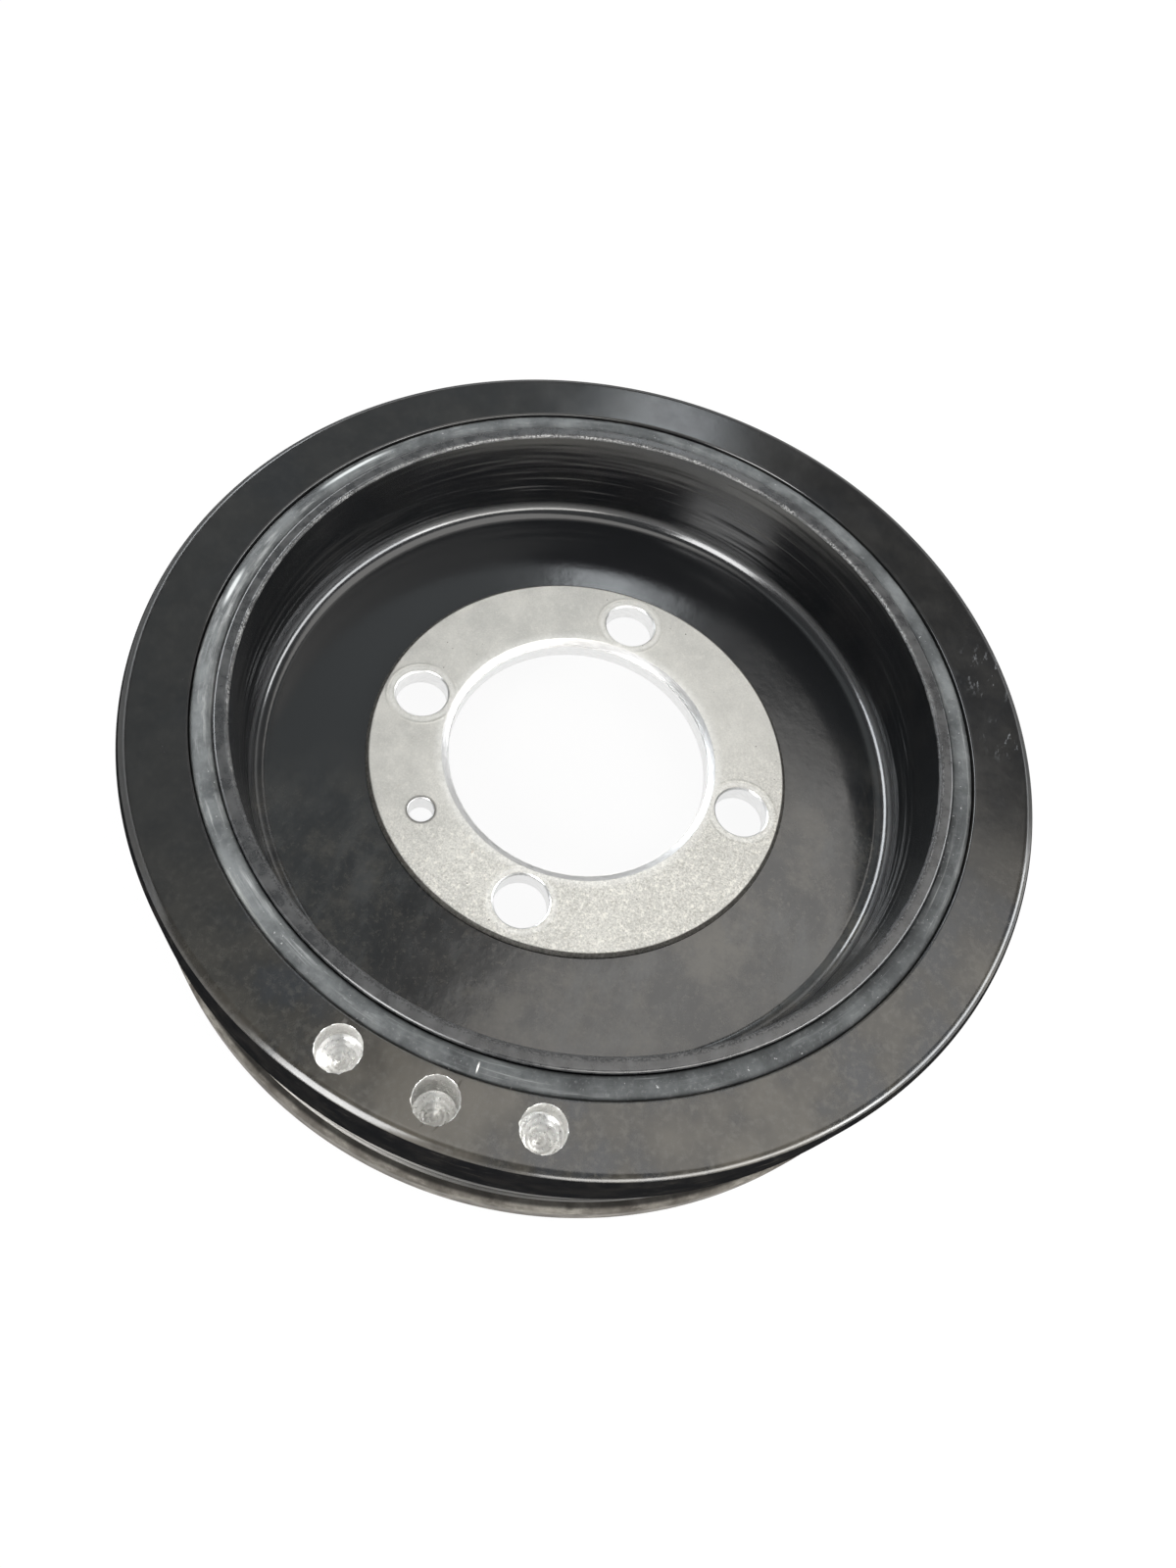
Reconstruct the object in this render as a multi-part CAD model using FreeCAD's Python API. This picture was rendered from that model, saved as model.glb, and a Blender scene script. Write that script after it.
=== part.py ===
"""Crankshaft pulley with a torsional vibration damper: drawn hub cup, mounting plate, rubber ring, grooved rim.

All sizes are in millimetres and degrees. The axis of the crankshaft is Z, the hub's seat on the crankshaft is the
plane z = 0, and the open side of the cup faces +Z. One bolt hole lies on +X.
"""
import FreeCAD, Part
import math
import os
from FreeCAD import Vector

AXIS = Vector(0, 0, 1)
ORIGIN = Vector(0, 0, 0)

# Grooved rim, the damper's heavy ring
rim_outer_diameter = 138.0
rim_wall = 9.85
front_flange_width = 10.6
rear_flange_width = 5.6
flange_height = 1.5
front_edge_radius = 2.0
rear_edge_radius = 1.2
rear_flange_edge_radius = 1.0
rim_bore_edge_radius = 0.35
groove_count = 4
groove_pitch = 3.56
groove_angle = 40.0
groove_depth = 2.9
groove_root_width = 0.5

# Balance holes, drilled in the front face beside each other
balance_hole_diameter = 6.0
balance_point_angle = 118.0
balance_middle_angle = 270.0
balance_step_angle = 12.35
balance_metal_left = (4.2, 0.3, 4.0)

# Rubber ring between the rim's bore and the hub's wall
rubber_thickness = 3.35
rubber_front_recess = 0.55
rubber_crown = 0.4
rubber_rear_clearance = 0.5
rubber_rear_hollow = 0.8

# Hub cup, drawn from steel sheet
floor_thickness = 2.5
wall_thickness = 2.15
cup_depth = 18.0
wall_rim_stand = 0.2
wall_rim_edge_radius = 0.5
wall_draft = 4.2
drawn_corner_radius = 2.5

# Openings for the crankshaft's bolts, its dowel and its nose, which the bolt holes leave a web round
bolt_circle_diameter = 56.0
bolt_count = 4
bolt_hole_diameter = 8.5
bore_web = 2.25
dowel_hole_diameter = 4.0
dowel_angle = 225.0

# Mounting plate, bare steel under the bolt heads, with a web of its own outside the bolt holes
plate_web = 2.55
plate_thickness = 0.9
plate_edge_chamfer = 0.65
plate_bore_clearance = 0.2
plate_bore_chamfer_width = 1.05
plate_bore_chamfer_depth = 0.6
bolt_hole_bevel = 0.3

# Places that follow from the sizes above
floor_top = floor_thickness
front_face = floor_top + cup_depth
rim_radius = rim_outer_diameter / 2
rim_bore_radius = rim_radius - rim_wall
rib_tip_radius = rim_radius - flange_height
wall_outer_radius = rim_bore_radius - rubber_thickness
wall_inner_radius = wall_outer_radius - wall_thickness
wall_top = front_face + wall_rim_stand
wall_foot_radius = wall_inner_radius - (wall_top - floor_top) * math.tan(math.radians(wall_draft))
outer_corner_radius = drawn_corner_radius + floor_thickness
bolt_hole_radius = bolt_hole_diameter / 2
bolt_circle_radius = bolt_circle_diameter / 2
bore_radius = bolt_circle_radius - bolt_hole_radius - bore_web
plate_radius = bolt_circle_radius + bolt_hole_radius + plate_web
track_front = front_face - front_flange_width
track_rear = track_front - groove_count * groove_pitch
rim_rear = track_rear - rear_flange_width


def outline_point(radius, height):
    """A point of a turned section, which lies in the XZ plane."""
    return Vector(radius, 0, height)


def rounded_section(corners):
    """A closed face through (radius, height, edge radius) corners, each rounded by an arc tangent to its two sides."""
    points = [outline_point(radius, height) for radius, height, _ in corners]
    edges = []
    last = None
    first = None
    for index, corner in enumerate(points):
        before = points[index - 1]
        after = points[(index + 1) % len(points)]
        edge_radius = corners[index][2]
        start = corner
        end = corner
        if edge_radius > 0:
            to_before = (before - corner).normalize()
            to_after = (after - corner).normalize()
            half_angle = to_before.getAngle(to_after) / 2
            reach = edge_radius / math.tan(half_angle)
            start = corner + to_before * reach
            end = corner + to_after * reach
            inward = (to_before + to_after).normalize()
            middle = corner + inward * (edge_radius / math.sin(half_angle) - edge_radius)
        if last is not None:
            edges.append(Part.LineSegment(last, start).toShape())
        else:
            first = start
        if edge_radius > 0:
            edges.append(Part.Arc(start, middle, end).toShape())
        last = end
    edges.append(Part.LineSegment(last, first).toShape())
    return Part.Face(Part.Wire(edges))


def turned(face):
    """The solid that a section makes when it turns once round the axis."""
    return face.revolve(ORIGIN, AXIS, 360)


def on_circle(radius, angle, height):
    """A point at a radius and an angle round the axis."""
    turn = math.radians(angle)
    return Vector(radius * math.cos(turn), radius * math.sin(turn), height)


def bolt_angles():
    return [360 / bolt_count * index for index in range(bolt_count)]


def fastener_holes(bottom, top):
    """Cutters for the bolt holes and the dowel hole, between two heights and a little past them."""
    past = 1.0
    length = top - bottom + 2 * past
    cutters = []
    for angle in bolt_angles():
        place = on_circle(bolt_circle_radius, angle, bottom - past)
        cutters.append(Part.makeCylinder(bolt_hole_radius, length, place, AXIS))
    place = on_circle(bolt_circle_radius, dowel_angle, bottom - past)
    cutters.append(Part.makeCylinder(dowel_hole_diameter / 2, length, place, AXIS))
    return cutters


def make_hub_cup():
    """Drawn cup: flat floor on the crankshaft's seat, tight corner, wall thicker towards the floor."""
    section = rounded_section([
        (bore_radius, 0, 0),
        (wall_outer_radius, 0, outer_corner_radius),
        (wall_outer_radius, wall_top, wall_rim_edge_radius),
        (wall_inner_radius, wall_top, wall_rim_edge_radius),
        (wall_foot_radius, floor_top, drawn_corner_radius),
        (bore_radius, floor_top, 0),
    ])
    return turned(section).cut(fastener_holes(0, floor_top))


def make_mounting_plate():
    """Flat bare plate on the cup's floor, under the bolt heads, with its bore bevelled like a funnel."""
    plate_bore_radius = bore_radius + plate_bore_clearance
    plate_top = floor_top + plate_thickness
    section = rounded_section([
        (plate_bore_radius, floor_top, 0),
        (plate_radius, floor_top, 0),
        (plate_radius, plate_top - plate_edge_chamfer, 0),
        (plate_radius - plate_edge_chamfer, plate_top, 0),
        (plate_bore_radius + plate_bore_chamfer_width, plate_top, 0),
        (plate_bore_radius, plate_top - plate_bore_chamfer_depth, 0),
    ])
    plate = turned(section).cut(fastener_holes(floor_top, plate_top))
    bevels = []
    for angle in bolt_angles():
        place = on_circle(bolt_circle_radius, angle, plate_top - bolt_hole_bevel)
        wide_radius = bolt_hole_radius + bolt_hole_bevel
        bevels.append(Part.makeCone(bolt_hole_radius, wide_radius, bolt_hole_bevel, place, AXIS))
    return plate.cut(bevels)


def make_rubber_ring():
    """Rubber between the hub's wall and the rim: its front end bulges, its rear end is hollow."""
    front_edge = front_face - rubber_front_recess
    rear_edge = outer_corner_radius + rubber_rear_clearance
    middle_radius = (wall_outer_radius + rim_bore_radius) / 2
    front_inner = outline_point(wall_outer_radius, front_edge)
    front_outer = outline_point(rim_bore_radius, front_edge)
    rear_inner = outline_point(wall_outer_radius, rear_edge)
    rear_outer = outline_point(rim_bore_radius, rear_edge)
    bulge = Part.Arc(front_inner, outline_point(middle_radius, front_edge + rubber_crown), front_outer)
    hollow = Part.Arc(rear_outer, outline_point(middle_radius, rear_edge + rubber_rear_hollow), rear_inner)
    sides = [
        bulge.toShape(),
        Part.LineSegment(front_outer, rear_outer).toShape(),
        hollow.toShape(),
        Part.LineSegment(rear_inner, front_inner).toShape(),
    ]
    return turned(Part.Face(Part.Wire(sides)))


def groove_corners():
    """The belt track from front to rear: V grooves with flat roots between flat rib tips."""
    root_radius = rib_tip_radius - groove_depth
    half_root = groove_root_width / 2
    half_mouth = half_root + groove_depth * math.tan(math.radians(groove_angle / 2))
    corners = []
    for index in range(groove_count):
        centre = track_front - groove_pitch * (index + 0.5)
        corners += [
            (rib_tip_radius, centre + half_mouth, 0),
            (root_radius, centre + half_root, 0),
            (root_radius, centre - half_root, 0),
            (rib_tip_radius, centre - half_mouth, 0),
        ]
    return corners


def balance_drill(angle, metal_left):
    """A drill in the middle of the front face, whose point stops short of the belt track by the metal left."""
    past = 1.0
    drill_radius = balance_hole_diameter / 2
    point_length = drill_radius / math.tan(math.radians(balance_point_angle / 2))
    depth = front_flange_width - metal_left - point_length
    circle_radius = (rim_bore_radius + rim_radius - front_edge_radius) / 2
    shoulder = on_circle(circle_radius, angle, front_face - depth)
    shank = Part.makeCylinder(drill_radius, depth + past, shoulder, AXIS)
    point = Part.makeCone(drill_radius, 0, point_length, shoulder, AXIS.negative())
    return shank.fuse(point)


def make_grooved_rim():
    """Heavy ring: thick front flange, belt track and rear flange, with drilled balance holes in its front face."""
    section = rounded_section([
        (rim_bore_radius, rim_rear, rim_bore_edge_radius),
        (rim_bore_radius, front_face, rim_bore_edge_radius),
        (rim_radius, front_face, front_edge_radius),
        (rim_radius, track_front, 0),
        (rib_tip_radius, track_front, 0),
        *groove_corners(),
        (rib_tip_radius, track_rear, 0),
        (rim_radius, track_rear, rear_flange_edge_radius),
        (rim_radius, rim_rear, rear_edge_radius),
    ])
    first_angle = balance_middle_angle - balance_step_angle * (len(balance_metal_left) - 1) / 2
    drills = []
    for index, metal_left in enumerate(balance_metal_left):
        drills.append(balance_drill(first_angle + balance_step_angle * index, metal_left))
    return turned(section).cut(drills)


def main():
    os.makedirs("parts", exist_ok=True)
    pieces = {
        "hub_cup": make_hub_cup(),
        "mounting_plate": make_mounting_plate(),
        "rubber_ring": make_rubber_ring(),
        "grooved_rim": make_grooved_rim(),
    }
    for name, piece in pieces.items():
        solid = piece.Solids[0]
        solid.exportStep("parts/" + name + ".step")
        print(name, "solids", len(piece.Solids), "valid", solid.isValid(), "volume", round(solid.Volume, 1))


main()
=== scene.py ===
import math

import bpy
from mathutils import Matrix, Vector, noise


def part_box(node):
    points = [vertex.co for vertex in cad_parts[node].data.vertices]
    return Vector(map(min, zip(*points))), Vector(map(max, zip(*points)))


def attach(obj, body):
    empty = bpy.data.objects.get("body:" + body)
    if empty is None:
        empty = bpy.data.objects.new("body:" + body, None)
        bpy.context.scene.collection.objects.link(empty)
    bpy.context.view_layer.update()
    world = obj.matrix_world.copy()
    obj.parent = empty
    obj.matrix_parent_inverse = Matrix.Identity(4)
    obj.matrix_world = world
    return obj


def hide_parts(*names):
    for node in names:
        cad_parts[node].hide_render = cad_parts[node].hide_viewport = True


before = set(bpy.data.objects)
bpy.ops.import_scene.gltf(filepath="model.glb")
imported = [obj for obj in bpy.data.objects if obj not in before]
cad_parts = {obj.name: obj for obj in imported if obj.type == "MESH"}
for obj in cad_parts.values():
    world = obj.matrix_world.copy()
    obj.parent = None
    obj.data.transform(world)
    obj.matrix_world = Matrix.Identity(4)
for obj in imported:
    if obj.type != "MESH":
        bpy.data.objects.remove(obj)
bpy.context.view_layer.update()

# Lengths are in millimetres, in the frame of the CAD model: Z is the crankshaft's axis and +Z the cup's open side.
# What is handed to Blender is multiplied by MM, because Blender works in metres.
MM = 0.001

# The photograph's camera stands close by, on the -Y side, and is rolled a little
CAMERA_PLACE = (6.52, -92.31, 159.99)
CAMERA_AZIMUTH = 5.92
CAMERA_ELEVATION = 58.26
CAMERA_ROLL = 15.34
CAMERA_LENS = 25.42
CAMERA_SHIFT = (0.0125, -0.0375)


def millimetre_box(node):
    low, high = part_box(node)
    return low / MM, high / MM


# Sizes read from the CAD pieces
rim_low, rim_high = millimetre_box("grooved_rim")
cup_low, cup_high = millimetre_box("hub_cup")
plate_low, plate_high = millimetre_box("mounting_plate")
rubber_low, rubber_high = millimetre_box("rubber_ring")
RIM_RADIUS = rim_high.x
RIM_BORE_RADIUS = rubber_high.x
FRONT_FACE = rim_high.z
RIM_REAR = rim_low.z
WALL_RADIUS = cup_high.x
WALL_TOP = cup_high.z
FLOOR_BOTTOM = cup_low.z
FLOOR_TOP = plate_low.z
PLATE_RADIUS = plate_high.x
PLATE_TOP = plate_high.z

# Sizes of the grooved rim
FRONT_FLANGE_WIDTH = 10.6
FLANGE_HEIGHT = 1.5
FRONT_EDGE_RADIUS = 2.0
REAR_EDGE_RADIUS = 1.2
REAR_FLANGE_EDGE_RADIUS = 1.0
BORE_EDGE_RADIUS = 0.35
GROOVE_COUNT = 4
GROOVE_PITCH = 3.56
GROOVE_ANGLE = 40
GROOVE_DEPTH = 2.9
GROOVE_ROOT_WIDTH = 0.5
RIB_EDGE_RADIUS = 0.22
TRACK_FRONT = FRONT_FACE - FRONT_FLANGE_WIDTH
TRACK_REAR = TRACK_FRONT - GROOVE_COUNT * GROOVE_PITCH
RIB_RADIUS = RIM_RADIUS - FLANGE_HEIGHT

# Balance drillings in the front face: DRILLINGS holds their angles round the axis and their straight walls' depths
DRILL_RADIUS = 3.0
DRILL_CIRCLE_RADIUS = (RIM_BORE_RADIUS + RIM_RADIUS - FRONT_EDGE_RADIUS) / 2
DRILL_POINT_ANGLE = 118
DRILLINGS = ((257.65, 4.6), (270.0, 8.5), (282.35, 4.8))
DRILL_FEED = 0.68
DRILL_RIPPLE = 0.006
DRILL_LIP = 0.03
DRILL_BURR = 0.16
DRILL_POINT_STEPS = 48
DRILL_MARKS_OFFSET = (0.15, -0.1)

# Sizes of the hub cup
WALL_THICKNESS = 2.15
WALL_RIM_RADIUS = 0.5
WALL_DRAFT = 4.2
TRIM_DROP = 0.16
TRIM_WIDTH = 0.6
TRIM_DEPTH = 0.8
INNER_CORNER_RADIUS = 2.5
OUTER_CORNER_RADIUS = 5.0
BORE_RADIUS = 21.5
BARE_RADIUS = 22.5
BOLT_CIRCLE_RADIUS = 28.0
BOLT_ANGLES = (0, 90, 180, 270)
BOLT_HOLE_RADIUS = 4.25
DOWEL_ANGLE = 225
DOWEL_RADIUS = 2.0
WALL_INNER_RADIUS = WALL_RADIUS - WALL_THICKNESS
WALL_FOOT_RADIUS = WALL_INNER_RADIUS - (WALL_TOP - FLOOR_TOP) * math.tan(math.radians(WALL_DRAFT))

# Sizes of the mounting plate
PLATE_BORE_RADIUS = 21.7
PLATE_BORE_BEVEL = (1.05, 0.6)
PLATE_EDGE_BEVEL = 0.65
BOLT_HOLE_BEVEL = 0.3

# Sizes of the rubber ring
RUBBER_CROWN = 0.4
RUBBER_SHOULDER = rubber_high.z - RUBBER_CROWN
RUBBER_HOLLOW = 0.8
RUBBER_CREASE = 0.55
RUBBER_CREASE_START = 0.8
RUBBER_SWELL = 0.1
RUBBER_DIMPLE = 0.04
RUBBER_STEPS = 24

# How finely the meshes are divided: steps round a circle, and degrees of a step on a rounded edge
TURNS = 512
HOLE_TURNS = 96
ARC_STEP = 6
SMALL_EDGE_RADIUS = 0.4
SMALL_ARC_STEP = 24
CUTTER_PAST = 1

# The white floor: its half side in metres, its true colour, and how much of it glows to the camera and to mirrors
FLOOR_HALF_SIDE = 6.0
FLOOR_GREY = 0.8
FLOOR_GLOW = 0.94


def rounded_section(corners):
    """Points of a closed section through (radius, height, edge radius) corners, with round stretches as arcs."""
    points = []
    for index, (radius, height, edge) in enumerate(corners):
        corner = Vector((radius, height))
        before = Vector(corners[index - 1][:2]) - corner
        after = Vector(corners[(index + 1) % len(corners)][:2]) - corner
        if edge == 0:
            points.append((radius, height))
            continue
        half = before.angle(after) / 2
        reach = edge / math.tan(half)
        centre = corner + (before.normalized() + after.normalized()).normalized() * edge / math.sin(half)
        start = corner + before.normalized() * reach - centre
        end = corner + after.normalized() * reach - centre
        first = math.atan2(start.y, start.x)
        sweep = (math.atan2(end.y, end.x) - first + math.pi) % (2 * math.pi) - math.pi
        arc_step = ARC_STEP if edge > SMALL_EDGE_RADIUS else SMALL_ARC_STEP
        steps = max(3, math.ceil(abs(math.degrees(sweep)) / arc_step))
        for step in range(steps + 1):
            angle = first + sweep * step / steps
            points.append((centre.x + edge * math.cos(angle), centre.y + edge * math.sin(angle)))
    return points


def new_piece(name, vertices, faces, materials):
    mesh = bpy.data.meshes.new(name)
    mesh.from_pydata([Vector(vertex) * MM for vertex in vertices], [], faces)
    for material in materials:
        mesh.materials.append(material)
    piece = bpy.data.objects.new(name, mesh)
    bpy.context.scene.collection.objects.link(piece)
    return piece


def lathe(name, section, turns, materials, paint=None, shape=None):
    """Turns a closed section once round Z. paint gives a face's material number, shape moves a point."""
    count = len(section)
    vertices = []
    for radius, height in section:
        for turn in range(turns):
            angle = 2 * math.pi * turn / turns
            place = Vector((radius * math.cos(angle), radius * math.sin(angle), height))
            vertices.append(shape(place) if shape else place)
    faces = []
    slots = []
    for row in range(count):
        next_row = (row + 1) % count
        for turn in range(turns):
            next_turn = (turn + 1) % turns
            faces.append((row * turns + turn, next_row * turns + turn, next_row * turns + next_turn,
                          row * turns + next_turn))
        if paint:
            radius = (section[row][0] + section[next_row][0]) / 2
            height = (section[row][1] + section[next_row][1]) / 2
            slots += [paint(radius, height)] * turns
    piece = new_piece(name, vertices, faces, materials)
    if paint:
        piece.data.polygons.foreach_set("material_index", slots)
    area = sum(section[i - 1][0] * section[i][1] - section[i][0] * section[i - 1][1] for i in range(count))
    if area > 0:
        piece.data.flip_normals()
    return piece


def spindle(name, section, place, turns, material, shape=None):
    """A closed solid of revolution that stands on its own axis at a place: its section runs from axis to axis."""
    vertices = [Vector((0, 0, section[0][1]))]
    for radius, height in section[1:-1]:
        for turn in range(turns):
            angle = 2 * math.pi * turn / turns
            vertices.append(Vector((radius * math.cos(angle), radius * math.sin(angle), height)))
    vertices.append(Vector((0, 0, section[-1][1])))
    last = len(vertices) - 1
    rows = len(section) - 2
    faces = []
    for turn in range(turns):
        next_turn = (turn + 1) % turns
        faces.append((0, 1 + next_turn, 1 + turn))
        for row in range(rows - 1):
            low, high = 1 + row * turns, 1 + (row + 1) * turns
            faces.append((low + turn, low + next_turn, high + next_turn, high + turn))
        top = 1 + (rows - 1) * turns
        faces.append((last, top + turn, top + next_turn))
    moved = [(shape(vertex + Vector(place)) if shape else vertex + Vector(place)) for vertex in vertices]
    return new_piece(name, moved, faces, [material])


def apply_modifiers(piece):
    """Puts the result of a piece's modifiers into its mesh."""
    graph = bpy.context.evaluated_depsgraph_get()
    mesh = bpy.data.meshes.new_from_object(piece.evaluated_get(graph))
    old = piece.data
    piece.modifiers.clear()
    piece.data = mesh
    name = old.name
    bpy.data.meshes.remove(old)
    mesh.name = name


def cut(piece, cutters):
    """Drills a piece with solid cutters, whose material goes to the walls that they leave."""
    for cutter in cutters:
        drill = piece.modifiers.new("drill", "BOOLEAN")
        drill.operation = "DIFFERENCE"
        drill.solver = "EXACT"
        drill.material_mode = "TRANSFER"
        drill.object = cutter
    apply_modifiers(piece)
    for cutter in cutters:
        mesh = cutter.data
        bpy.data.objects.remove(cutter)
        bpy.data.meshes.remove(mesh)


def finish_surface(piece, sharp_angle=32):
    """Smooth shading with crisp edges, and flats that stay flat beside their rounded edges."""
    piece.data.shade_smooth()
    piece.data.set_sharp_from_angle(angle=math.radians(sharp_angle))
    weighted = piece.modifiers.new("weighted", "WEIGHTED_NORMAL")
    weighted.keep_sharp = True
    apply_modifiers(piece)


def dress_node(piece, node):
    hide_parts(node)
    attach(piece, "root")


class Surface:
    """A procedural material, with short ways to add its nodes. Places are object coordinates in millimetres."""

    def __init__(self, name):
        self.material = bpy.data.materials.new(name)
        self.material.use_nodes = True
        self.nodes = self.material.node_tree.nodes
        self.links = self.material.node_tree.links
        self.shader = self.nodes["Principled BSDF"]
        coordinates = self.nodes.new("ShaderNodeTexCoord").outputs["Object"]
        self.place = self.scaled(coordinates, (1 / MM, 1 / MM, 1 / MM))
        split = self.nodes.new("ShaderNodeSeparateXYZ")
        self.links.new(self.place, split.inputs[0])
        self.x, self.y, self.z = split.outputs
        self.radius = self.maths("SQRT", self.maths("ADD", self.maths("MULTIPLY", self.x, self.x),
                                                    self.maths("MULTIPLY", self.y, self.y)))

    def set(self, **values):
        """Values that are the same all over the surface, on the shader's own sockets."""
        for name, value in values.items():
            socket = self.shader.inputs[name.replace("_", " ")]
            socket.default_value = (*value, 1) if isinstance(value, tuple) else value

    def feed(self, source, socket):
        if hasattr(source, "links"):
            self.links.new(source, socket)
        elif isinstance(source, tuple):
            socket.default_value = (*source, 1) if len(socket.default_value) == 4 else source
        else:
            socket.default_value = source

    def maths(self, operation, first, second=None, clamp=False):
        node = self.nodes.new("ShaderNodeMath")
        node.operation = operation
        node.use_clamp = clamp
        self.feed(first, node.inputs[0])
        if second is not None:
            self.feed(second, node.inputs[1])
        return node.outputs[0]

    def scaled(self, place, scale):
        node = self.nodes.new("ShaderNodeVectorMath")
        node.operation = "MULTIPLY"
        self.feed(place, node.inputs[0])
        self.feed(scale, node.inputs[1])
        return node.outputs[0]

    def triple(self, value):
        node = self.nodes.new("ShaderNodeCombineXYZ")
        for socket in node.inputs:
            self.feed(value, socket)
        return node.outputs[0]

    def ring_place(self, along, across, up):
        """Coordinates that stretch a pattern round the axis: slow along a circle, fast across it and up."""
        node = self.nodes.new("ShaderNodeCombineXYZ")
        self.feed(self.maths("MULTIPLY", self.x, along), node.inputs[0])
        self.feed(self.maths("MULTIPLY", self.y, along), node.inputs[1])
        rise = self.maths("ADD", self.maths("MULTIPLY", self.radius, across), self.maths("MULTIPLY", self.z, up))
        self.feed(rise, node.inputs[2])
        return node.outputs[0]

    def noise(self, size, detail=2.0, roughness=0.5, place=None, seed=0.0):
        """Noise whose blotches are about so many millimetres across."""
        node = self.nodes.new("ShaderNodeTexNoise")
        node.noise_dimensions = "4D"
        self.feed(place or self.place, node.inputs["Vector"])
        node.inputs["W"].default_value = seed
        node.inputs["Scale"].default_value = 1 / size
        node.inputs["Detail"].default_value = detail
        node.inputs["Roughness"].default_value = roughness
        return node.outputs["Fac"]

    def ramp(self, value, low, high, start=0.0, end=1.0):
        """A smooth step: start below low, end above high."""
        node = self.nodes.new("ShaderNodeMapRange")
        node.interpolation_type = "SMOOTHSTEP"
        self.feed(value, node.inputs["Value"])
        node.inputs["From Min"].default_value = low
        node.inputs["From Max"].default_value = high
        node.inputs["To Min"].default_value = start
        node.inputs["To Max"].default_value = end
        return node.outputs["Result"]

    def near(self, value, centre, width):
        """1 where a value is at a centre, falling to 0 at a width from it."""
        away = self.maths("ABSOLUTE", self.maths("SUBTRACT", value, centre))
        return self.ramp(away, 0, width, 1, 0)

    def spot(self, angle, radius, size):
        """1 at a place of the turned part, falling to 0 at a size from it; the height plays no part."""
        turn = math.radians(angle)
        across = self.maths("SUBTRACT", self.x, radius * math.cos(turn))
        along = self.maths("SUBTRACT", self.y, radius * math.sin(turn))
        away = self.maths("SQRT", self.maths("ADD", self.maths("MULTIPLY", across, across),
                                             self.maths("MULTIPLY", along, along)))
        return self.ramp(away, 0, size, 1, 0)

    def product(self, *values):
        result = values[0]
        for value in values[1:]:
            result = self.maths("MULTIPLY", result, value)
        return result

    def blend(self, share, first, second):
        node = self.nodes.new("ShaderNodeMix")
        node.data_type = "RGBA"
        self.feed(share, node.inputs[0])
        self.feed(first, node.inputs[6])
        self.feed(second, node.inputs[7])
        return node.outputs[2]

    def color(self, source):
        self.feed(source, self.shader.inputs["Base Color"])

    def roughness(self, source):
        self.feed(source, self.shader.inputs["Roughness"])

    def bump(self, *layers):
        """Relief in layers of (height, depth in millimetres)."""
        normal = None
        for height, depth in layers:
            node = self.nodes.new("ShaderNodeBump")
            node.inputs["Distance"].default_value = depth * MM
            self.feed(height, node.inputs["Height"])
            if normal:
                self.feed(normal, node.inputs["Normal"])
            normal = node.outputs[0]
        self.feed(normal, self.shader.inputs["Normal"])


def face_coat():
    """Satin black coat on the rim's front: cloudy tones, warm and cool patches that paint a mottled sheen on its
    near side, fine orange peel, a few scuffs.
    """
    coat = Surface("black_coat_face")
    coat.set(Metallic=0.0, Specular_IOR_Level=0.7)
    clouds = coat.noise(7, 5, 0.65)
    warm = coat.noise(13, 4, 0.6, seed=4)
    fine = coat.noise(0.9, 4, 0.7, seed=11)
    lower = coat.ramp(coat.maths("SUBTRACT", coat.maths("MULTIPLY", coat.x, 0.5), coat.y), 15, 70, 0.1, 1)
    base = coat.blend(coat.ramp(clouds, 0.35, 0.7), (0.0018, 0.0021, 0.0026), (0.0062, 0.0063, 0.0064))
    # Painted sheen: lighter warm, cool and fine patches only on the near side, which they lighten.
    base = coat.blend(coat.product(coat.ramp(warm, 0.32, 0.68), lower), base, (0.05, 0.045, 0.036))
    base = coat.blend(coat.product(coat.ramp(warm, 0.5, 0.36), lower, 0.6), base, (0.026, 0.029, 0.034))
    base = coat.blend(coat.product(coat.ramp(fine, 0.45, 0.7), lower, 0.6), base, (0.06, 0.057, 0.05))
    specks = coat.ramp(coat.noise(0.5, 2, 0.6, seed=9), 0.71, 0.76)
    base = coat.blend(coat.product(specks, 0.3), base, (0.12, 0.12, 0.125))
    scratches = coat.ramp(coat.noise(1.1, 3, 0.7, coat.scaled(coat.place, (1.0, 0.35, 1.0)), 2), 0.56, 0.66)
    scuffed = coat.maths("MAXIMUM", coat.spot(28, 65.5, 7), coat.spot(17, 65, 5))
    base = coat.blend(coat.product(scratches, scuffed, 0.7), base, (0.2, 0.21, 0.22))
    coat.color(base)
    rounded = coat.ramp(coat.radius, RIM_RADIUS - 1.6, RIM_RADIUS - 1.1)
    dull_edge = coat.product(rounded, coat.ramp(lower, 0.15, 0.45, 1, 0), 0.75)
    coat.roughness(coat.maths("ADD", coat.ramp(clouds, 0.3, 0.75, 0.15, 0.22), dull_edge))
    coat.bump((coat.noise(0.8, 3, 0.6), 0.006), (coat.noise(5, 4, 0.6, seed=3), 0.015))
    return coat.material


def wall_coat():
    """Dull, deep black of the front flange's wall, with a little dust."""
    coat = Surface("black_coat_wall")
    coat.set(Metallic=0.0, Specular_IOR_Level=0.0)
    clouds = coat.noise(5, 4, 0.65)
    dust = coat.noise(1.6, 4, 0.7, coat.ring_place(0.4, 0, 1.4), 5)
    base = coat.blend(coat.ramp(clouds, 0.4, 0.75), (0.005, 0.0052, 0.0056), (0.011, 0.0105, 0.01))
    base = coat.blend(coat.product(coat.ramp(dust, 0.55, 0.75), 0.4), base, (0.05, 0.046, 0.04))
    coat.color(base)
    coat.roughness(coat.ramp(clouds, 0.3, 0.7, 0.5, 0.6))
    coat.bump((coat.noise(1.0, 3, 0.6), 0.01))
    return coat.material


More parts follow.
